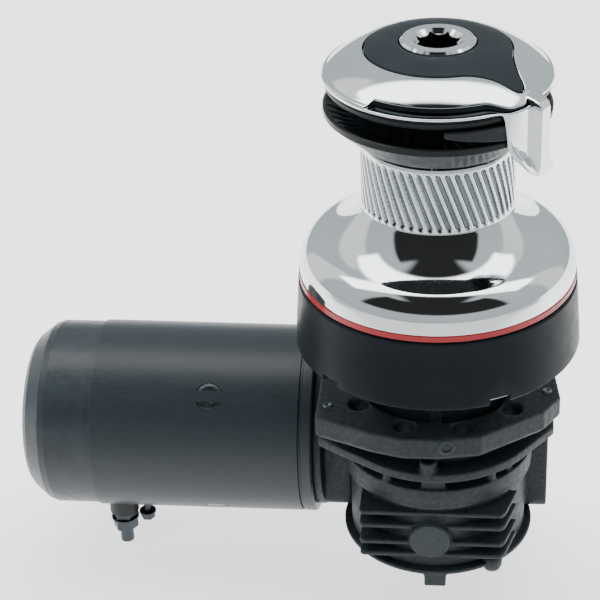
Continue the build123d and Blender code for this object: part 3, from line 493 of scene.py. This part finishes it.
def cap_outside(degrees):
    """Rows of the cap's polished outside, from the insert's groove to the lower edge."""
    groove = insert_radius(degrees) + INSERT_GAP
    flange = smoothstep(degrees, -40.5, -36.0) * smoothstep(degrees, -27.4, -29.0)
    arm = smoothstep(degrees, -58.0, -52.5) * smoothstep(degrees, -27.4, -29.0)
    recess = recess_share(degrees)
    reach = smoothstep(degrees, -64.0, -47.0) * smoothstep(degrees, -27.4, -33.0)

    rows = [(groove, dome_height(groove) - INSERT_DEPTH), (groove, dome_height(groove) - 0.7),
            (groove + 0.12, dome_height(groove) - 0.3),
            (groove + 0.45, dome_height(groove + 0.45) - 0.05)]
    edge_r = 58.3 - 3.4 * recess + 4.6 * reach * recess - 1.5 * flange
    edge_z = dome_height(np.minimum(edge_r, 56.0)) - 0.9 * np.maximum(edge_r - 56.0, 0.0)
    for share in np.linspace(0.06, 1.0, 18):
        radius = groove + 0.45 + (edge_r - groove - 0.45) * share
        height = dome_height(np.minimum(radius, CAP_R))
        height = height + (edge_z - dome_height(np.minimum(edge_r, CAP_R))) * share ** 4
        rows.append((radius, height))
    plain = [(58.9, 159.7), (59.4, 159.1), (59.7, 158.7), (59.9, 158.5), (CAP_R, 158.1)]
    cut = [(edge_r + 0.3, edge_z - 0.5), (edge_r + 0.1, edge_z - 2.6), (edge_r + 1.2, edge_z - 4.4),
           (59.0 + 1.6 * arm, 158.2 - 1.2 * reach), (59.8 + 1.5 * arm, 158.0 - 1.2 * reach)]
    flow = [(59.2, 160.6), (61.6, 159.6), (64.0, 158.2), (65.8, 156.4), (66.6, 153.6)]
    for straight, sunk, wide in zip(plain, cut, flow):
        row = blend_rows(straight, sunk, recess)
        rows.append(blend_rows(row, wide, flange))

    top_r, top_z = rows[-1]
    low_z = np.minimum(arm_bottom(degrees), top_z - 0.8)
    for share in np.linspace(0.04, 1.0, 30):
        height = top_z + (low_z - top_z) * share
        lip = smoothstep(height, low_z + 9.0, low_z + 2.5) * smoothstep(degrees, -53.5, -46.0)
        raised = np.maximum(flange, lip * arm)
        radius = 61.6 + 5.0 * raised
        radius = CAP_R + (radius - CAP_R) * arm
        settle = smoothstep(height, top_z, top_z - 5.0)
        rows.append((top_r + (radius - top_r) * settle, height))
    return rows, arm


INNER_ROWS = 18               # rows of the cap's inner wall, from its lower edge up


def cap_inside(degrees, outer_r, outer_z, arm):
    """Rows of the cap's hidden side, from the lower edge back to the hub."""
    inner_r = 58.5 + 2.2 * arm
    rows = [((outer_r * 2 + inner_r) / 3, outer_z - 0.9 * arm),
            ((outer_r + inner_r * 2) / 3, outer_z - 0.9 * arm)]
    for share in np.linspace(0.0, 1.0, INNER_ROWS - 2):
        rows.append((inner_r, outer_z + (CAP_BOTTOM - outer_z) * share))
    hub = ((57.0, CAP_BOTTOM), (56.2, CAP_BOTTOM), (52.0, 161.0), (HUB_R + 0.5, 161.0),
           (HUB_R, 160.5), (HUB_R, 150.0), (SOCKET_BORE_R, 150.0), (SOCKET_BORE_R, 168.6))
    even = np.ones_like(degrees)
    rows += [(radius * even, height * even) for radius, height in hub]
    floor_r = insert_radius(degrees) + INSERT_GAP
    for share in (0.03, 0.35, 0.7, 0.97):
        radius = SOCKET_BORE_R + (floor_r - SOCKET_BORE_R) * share
        rows.append((radius, dome_height(radius) - INSERT_DEPTH))
    return rows


RECESS_ROWS = slice(22, 25)   # bands of faces that line the recess and take its painted shade


def make_cap():
    degrees = cap_directions()
    outside, arm = cap_outside(degrees)
    rows = outside + cap_inside(degrees, *outside[-1], arm)
    radii = np.stack([row[0] for row in rows], axis=1)
    heights = np.stack([row[1] for row in rows], axis=1)
    free = slice(6, len(outside) + INNER_ROWS)
    near = (degrees > -62) & (degrees < -20)
    hanging = slice(RECESS_ROWS.stop + 2, len(outside) + INNER_ROWS)
    for _ in range(12):
        for grid in (radii, heights):
            wide = (np.roll(grid, 1, axis=0) + 2 * grid + np.roll(grid, -1, axis=0)) / 4
            grid[near, free] = wide[near, free]
            middle = grid.copy()
            middle[:, 1:-1] = (grid[:, :-2] + 2 * grid[:, 1:-1] + grid[:, 2:]) / 4
            grid[near, hanging] = middle[near, hanging]
    flare = smoothstep(heights, 128.0, 118.0) * smoothstep(degrees, -36.0, -29.0)[:, None]
    flare = flare * smoothstep(degrees, -20.0, -26.0)[:, None]
    angles = np.radians(degrees[:, None] + 7.0 * flare)
    mesh = face_outwards(grid_mesh("cap_shell", turned(radii, heights, angles)))
    add_piece("cap_shell", mesh, "frame", "chrome", ["top_cover"])
    # The faces lining the recess get a dark metal: painted shade.
    mesh.materials.append(MATERIALS["recess_painted_shade"])
    painted_recess_mask = np.zeros(radii.shape, np.int32)
    painted_recess_mask[recess_share(degrees) > 0.35, RECESS_ROWS] = 1
    mesh.polygons.foreach_set("material_index", painted_recess_mask.ravel())


def make_insert():
    """Matte plate in the cap's recess, with a small round along its edge."""
    degrees = cap_directions()
    edge = insert_radius(degrees)
    floor_z = dome_height(SOCKET_BORE_R) - INSERT_DEPTH
    rows = [(SOCKET_BORE_R * np.ones_like(edge), floor_z + 0 * edge)]
    for share in np.linspace(0.0, 1.0, 14):
        radius = SOCKET_BORE_R + (edge - 0.7 - SOCKET_BORE_R) * share
        rows.append((radius, dome_height(radius) + 0 * edge))
    for inwards, drop in ((0.4, 0.08), (0.15, 0.3), (0.02, 0.6), (0.0, 0.9), (0.0, INSERT_DEPTH)):
        rows.append((edge - inwards, dome_height(edge - inwards) - drop))
    radii = np.stack([row[0] for row in rows], axis=1)
    heights = np.stack([row[1] for row in rows], axis=1)
    angles = np.radians(degrees)[:, None]
    mesh = face_outwards(grid_mesh("insert_plate", turned(radii, heights, angles)))
    add_piece("insert_plate", mesh, "frame", "slate_plastic", ["cover_insert"])


# ---- Jaws ------------------------------------------------------------------------------------
def make_jaw_teeth():
    """Radial ribs on the cone of the lower jaw, which grip the line."""
    shape = bmesh.new()
    for index in range(JAW_TEETH):
        turn = 2 * math.pi * index / JAW_TEETH
        section = []
        for radius, height, half, rise in (TOOTH_INNER, TOOTH_OUTER):
            for across, lift in ((-half, -TOOTH_ROOT), (half, -TOOTH_ROOT), (0.0, rise)):
                angle = turn + across / radius
                point = (radius * math.cos(angle), radius * math.sin(angle), height + lift)
                section.append(shape.verts.new([c * MM for c in point]))
        a, b, c, d, e, f = section
        for corners in ((a, c, b), (d, e, f), (a, b, e, d), (b, c, f, e), (c, a, d, f)):
            shape.faces.new(corners)
    mesh = close_mesh("jaw_teeth", shape)
    add_piece("jaw_teeth", mesh, "lower_jaw", "jaw_plastic", (), MATERIALS["feeder_plastic"])
    mesh.shade_flat()


def make_feeder():
    """Wedge on the arm that peels the line out of the jaws: low at the arm, thin at its nose."""
    columns = []
    for share in np.linspace(0.0, 1.0, 24):
        turn = math.radians(FEEDER_START + FEEDER_SWEEP * share)
        low = 147.6 - 5.6 * share ** 0.8
        inner = 56.5 - 10.0 * share
        outer = 59.4 + 1.2 * share
        section = [(inner, low - 2.2 * share), (outer - 2.5, low), (outer - 0.4, low),
                   (outer, low + 0.4), (outer, FEEDER_TOP - 0.4), (outer - 0.4, FEEDER_TOP),
                   (outer - 2.5, FEEDER_TOP - 0.1), (inner, 149.0 - 2.0 * share)]
        columns.append([(r * math.cos(turn), r * math.sin(turn), z) for r, z in section])
    shape = bmesh.new()
    rings = [[shape.verts.new([c * MM for c in point]) for point in ring] for ring in columns]
    for first, second in zip(rings, rings[1:]):
        for i in range(len(first)):
            j = (i + 1) % len(first)
            shape.faces.new((first[i], first[j], second[j], second[i]))
    shape.faces.new(rings[0])
    shape.faces.new(rings[-1])
    piece = add_piece("feeder_wedge", close_mesh("feeder_wedge", shape), "frame", "jaw_plastic",
                      ["line_feeder"], MATERIALS["feeder_plastic"])
    edges = piece.modifiers.new("edges", "BEVEL")
    edges.width = 0.0003
    edges.segments = 2
    edges.harden_normals = True


# ---- Motor screws ----------------------------------------------------------------------------
def make_pole_screws():
    """Countersunk cross-head screws round the motor, a little smaller than their holes."""
    radii = np.append(np.linspace(0.0, 7.3, 60), [7.5, 7.6, 7.6, 0.0])
    turns = np.radians(np.arange(0, 360, 2.5))[:, None]
    across = radii * np.cos(turns)
    along = radii * np.sin(turns)
    bars = [np.hypot(np.maximum(np.abs(a) - 3.4, 0), np.maximum(np.abs(b) - 0.35, 0))
            for a, b in ((across, along), (along, across))]
    heights = MOTOR_R - 0.35 + 0.25 * smoothstep(radii, 7.3, 5.6)
    heights = heights - 1.7 * smoothstep(np.minimum(*bars), 0.75, 0.15)
    heights[:, -4:] = MOTOR_R - np.array([0.5, 0.9, 3.0, 3.0])
    for index in range(POLE_SCREWS):
        tilt = math.radians(45 + 90 * index)
        axis = np.array([0.0, math.cos(tilt), math.sin(tilt)])
        side = np.array([0.0, -math.sin(tilt), math.cos(tilt)])
        spun = np.radians(20 + 31 * index)
        first = across * math.cos(spun) - along * math.sin(spun)
        second = across * math.sin(spun) + along * math.cos(spun)
        centre = np.array([POLE_SCREW_X, MOTOR_Y, MOTOR_Z])
        places = (centre + first[..., None] * np.array([1.0, 0.0, 0.0])
                  + second[..., None] * side + heights[..., None] * axis)
        name = f"pole_screw_{index + 1}"
        mesh = face_outwards(grid_mesh(name, places), join=1e-6)
        replaced = ["pole_screws"] if index == 0 else ()
        add_piece(name, mesh, "frame", "zinc_steel", replaced, MATERIALS["screw_steel"])


# ---- Small cast and screwed details ----------------------------------------------------------
def lathe_mesh(name, outline, place, axis=(0, 0, 1), count=48):
    """Turned solid from radius and height pairs that start and end on its axis."""
    spin = Vector((0, 0, 1)).rotation_difference(Vector(axis)).to_matrix()
    shape = bmesh.new()
    rings = []
    for radius, height in outline:
        steps = count if radius > 0 else 1
        ring = []
        for index in range(steps):
            turn = 2 * math.pi * index / steps
            point = spin @ Vector((radius * math.cos(turn), radius * math.sin(turn), height))
            ring.append(shape.verts.new((Vector(place) + point) * MM))
        rings.append(ring)
    for first, second in zip(rings, rings[1:]):
        for index in range(count):
            after = (index + 1) % count
            corners = [first[index % len(first)], first[after % len(first)],
                       second[after % len(second)], second[index % len(second)]]
            shape.faces.new(list(dict.fromkeys(corners)))
    return close_mesh(name, shape)


PLATE_TOP = -29.0


def make_casting_details():
    """Tapped boss in the plate's front wall, the lug under the cover and two small plate screws."""
    boss = [(0, -3.0), (2.5, -3.0), (2.6, 0.3), (2.9, 0.7), (4.2, 0.7), (4.9, 0.2),
            (5.4, -1.2), (5.4, -5), (0, -5)]
    mesh = lathe_mesh("tapped_boss", boss, (7.8, -61.6, -34.2), (0.2, -0.98, 0.05))
    add_piece("tapped_boss", mesh, "frame", "cast_paint")
    lug = [(0, -8.0), (2.6, -7.7), (4.6, -6.4), (5.6, -4.2), (5.8, -1.5), (5.8, 3.0), (0, 3.0)]
    mesh = lathe_mesh("cover_lug", lug, (33.0, -40.5, -125.0))
    add_piece("cover_lug", mesh, "frame", "cast_paint")
    screw = [(0, 0.15), (0.9, 0.15), (1.1, 0.9), (2.3, 0.9), (2.8, 0.5), (2.9, -1.0), (0, -1.0)]
    for index, (x, y) in enumerate(((-59.0, -33.0), (61.4, -12.0))):
        name = f"plate_pin_{index + 1}"
        mesh = lathe_mesh(name, screw, (x, y, PLATE_TOP))
        add_piece(name, mesh, "frame", "zinc_steel", (), MATERIALS["screw_steel"])


# ---- Castings --------------------------------------------------------------------------------
def soften_castings():
    """Rounds the corners of the sand-cast parts, as the foundry and the paint leave them."""
    for name, voxel in (("adapter_plate", 0.8), ("gearbox_flange", 0.7), ("gear_housing", 0.7),
                        ("bottom_cover", 0.7), ("motor_neck", 0.8)):
        node = frame["nodes"][name]
        remesh = node.modifiers.new("cast_skin", "REMESH")
        remesh.mode = "VOXEL"
        remesh.voxel_size = voxel * MM
        remesh.use_smooth_shade = True
        smooth = node.modifiers.new("cast_corners", "SMOOTH")
        smooth.factor = 0.5
        smooth.iterations = 6


def paint_cad_nodes():
    """Gives every carried-over CAD node the material of its slot."""
    slots = {item["node"]: item["material_slot"] for item in frame["record"]["subparts"]}
    for name, node in frame["nodes"].items():
        node.data.materials.clear()
        node.data.materials.append(MATERIALS[slots[name]])
    frame["nodes"]["motor_end_cap"].data.materials[0] = MATERIALS["end_cap_paint"]


paint_cad_nodes()
soften_castings()
make_drum()
make_cap()
make_insert()
make_jaw_teeth()
make_feeder()
make_pole_screws()
make_casting_details()


# ---- Stage, light and camera -----------------------------------------------------------------
# Everything below is in metres.
FLOOR_HALF = 6.0
FLOOR_CLEARANCE = 0.004   # the winch hangs this far above the floor
FLOOR_GLOW = 1.7


def make_floor():
    mesh = bpy.data.meshes.new("floor")
    level = cad_box[0].z - FLOOR_CLEARANCE
    corners = [(x * FLOOR_HALF, y * FLOOR_HALF, level)
               for x, y in ((-1, -1), (1, -1), (1, 1), (-1, 1))]
    mesh.from_pydata(corners, [], [(0, 1, 2, 3)])
    floor = bpy.data.objects.new("floor", mesh)
    bpy.context.collection.objects.link(floor)
    recipe = Recipe("floor", Roughness=0.9)
    recipe.colour(recipe.ramp(recipe.noise(3, 2), (0.3, grey(0.70)), (0.7, grey(0.73))))
    recipe.shine(0.0)
    recipe.shader.inputs["Emission Color"].default_value = (1.0, 1.0, 1.0, 1.0)
    split = recipe.add("ShaderNodeSeparateXYZ")
    recipe.link(recipe.coordinates, split.inputs[0])
    glow = recipe.spread(split.outputs["Y"], 0.0, FLOOR_GLOW, -0.30, 0.05)
    recipe.link(glow, recipe.shader.inputs["Emission Strength"])
    mesh.materials.append(recipe.material)


def area_light(name, place, target, width, height, power):
    data = bpy.data.lights.new(name, "AREA")
    data.shape = "RECTANGLE"
    data.size = width
    data.size_y = height
    data.energy = power
    light = bpy.data.objects.new(name, data)
    bpy.context.collection.objects.link(light)
    light.location = place
    light.visible_glossy = False
    light.rotation_mode = "QUATERNION"
    light.rotation_quaternion = (Vector(target) - Vector(place)).to_track_quat("-Z", "Y")


# Panels round the winch: turn from the front and height of the centre, half width and half
# height, all in degrees, then brightness. The dark one is the unlit side behind the camera.
STUDIO_PANELS = (
    (0, 40, 62, 20, 0.03),
    (-118, 24, 15, 26, 1.2),
    (112, 26, 13, 28, 1.1),
)
# Ceiling panels: middle along Y, half width and half length, all over height, then brightness.
OVERHEAD_PANELS = (
    (-0.42, 0.34, 0.38, 0.03),
    (0.20, 1.0, 0.24, 4.5),
)
ROOM_LOW = (0.60, 0.66, 0.68, 1.0)
ROOM_HIGH = (0.70, 0.74, 0.76, 1.0)
PANEL_SOFTNESS = math.radians(3.0)
# Soft lights: name, place, aim, width, height, power.
LIGHTS = (
    ("key_left", (-0.9, -0.9, 1.0), (0, 0, 0), 0.9, 0.9, 11),
    ("fill_right", (1.2, -0.5, 0.7), (0, 0, 0.05), 0.5, 1.2, 4),
    ("top", (0.0, 0.1, 1.4), (0, 0, 0), 1.2, 1.2, 8),
)


class Studio:
    """World of a soft grey room, built from panels by direction."""

    def __init__(self):
        world = bpy.data.worlds.new("studio")
        bpy.context.scene.world = world
        world.use_nodes = True
        self.tree = world.node_tree
        split = self.tree.nodes.new("ShaderNodeSeparateXYZ")
        place = self.tree.nodes.new("ShaderNodeTexCoord").outputs["Generated"]
        self.tree.links.new(place, split.inputs[0])
        self.x, self.y, self.z = split.outputs
        self.turn = self.math("ARCTAN2", self.x, self.math("MULTIPLY", self.y, -1.0))
        self.height = self.math("ARCSINE", self.z)

    def math(self, operation, *values):
        node = self.tree.nodes.new("ShaderNodeMath")
        node.operation = operation
        for socket, value in zip(node.inputs, values):
            if isinstance(value, (int, float)):
                socket.default_value = value
            else:
                self.tree.links.new(value, socket)
        return node.outputs[0]

    def within(self, value, centre, half, soft):
        """1 where the value lies within half of the centre, with a soft edge."""
        away = self.math("ABSOLUTE", self.math("SUBTRACT", value, centre))
        node = self.tree.nodes.new("ShaderNodeMapRange")
        node.interpolation_type = "SMOOTHSTEP"
        self.tree.links.new(away, node.inputs["Value"])
        node.inputs["From Min"].default_value = half + soft
        node.inputs["From Max"].default_value = half - soft
        return node.outputs["Result"]

    def panel(self, shade, mask, brightness):
        mix = self.tree.nodes.new("ShaderNodeMix")
        mix.data_type = "RGBA"
        self.tree.links.new(mask, mix.inputs["Factor"])
        self.tree.links.new(shade, mix.inputs[6])
        mix.inputs[7].default_value = grey(brightness)
        return mix.outputs[2]


def make_studio():
    studio = Studio()
    ramp = studio.tree.nodes.new("ShaderNodeValToRGB")
    studio.tree.links.new(studio.z, ramp.inputs["Fac"])
    ramp.color_ramp.elements[0].color = ROOM_LOW
    ramp.color_ramp.elements[1].color = ROOM_HIGH
    shade = ramp.outputs["Color"]
    for *place, brightness in STUDIO_PANELS:
        turn, height, half_width, half_height = (math.radians(angle) for angle in place)
        mask = studio.math("MULTIPLY", studio.within(studio.turn, turn, half_width, PANEL_SOFTNESS),
                           studio.within(studio.height, height, half_height, PANEL_SOFTNESS))
        shade = studio.panel(shade, mask, brightness)
    above = studio.math("MAXIMUM", studio.z, 0.05)
    across = studio.math("DIVIDE", studio.x, above)
    along = studio.math("DIVIDE", studio.y, above)
    for middle, half_across, half_along, brightness in OVERHEAD_PANELS:
        mask = studio.math("MULTIPLY", studio.within(across, 0.0, half_across, 0.08),
                           studio.within(along, middle, half_along, 0.06))
        shade = studio.panel(shade, mask, brightness)
    studio.tree.links.new(shade, studio.tree.nodes["Background"].inputs["Color"])
    for light in LIGHTS:
        area_light(*light)


CAMERA_AZIMUTH = math.radians(3.0)
CAMERA_ELEVATION = math.radians(30.8)
CAMERA_DISTANCE = 1.0286
CAMERA_TARGET = (0, 0, 21.0 * MM)
IMAGE_SIZE = 600          # the next two are in pixels of an image of this size
FOCAL_LENGTH = 1870
SHIFT_LEFT = 138
SENSOR_WIDTH = 36.0       # in millimetres


def make_camera():
    """Camera of the photograph: 31 degrees above the deck plane, with the winch right of centre."""
    data = bpy.data.cameras.new("camera")
    camera = bpy.data.objects.new("camera", data)
    bpy.context.collection.objects.link(camera)
    level = math.cos(CAMERA_ELEVATION)
    back = Vector((math.sin(CAMERA_AZIMUTH) * level, -math.cos(CAMERA_AZIMUTH) * level,
                   math.sin(CAMERA_ELEVATION)))
    camera.location = Vector(CAMERA_TARGET) + back * CAMERA_DISTANCE
    camera.rotation_mode = "QUATERNION"
    camera.rotation_quaternion = (-back).to_track_quat("-Z", "Y")
    data.sensor_width = SENSOR_WIDTH
    data.lens = SENSOR_WIDTH * FOCAL_LENGTH / IMAGE_SIZE
    data.shift_x = -SHIFT_LEFT / IMAGE_SIZE
    data.clip_start = 0.05
    data.clip_end = 30.0
    bpy.context.scene.camera = camera


make_floor()
make_studio()
make_camera()
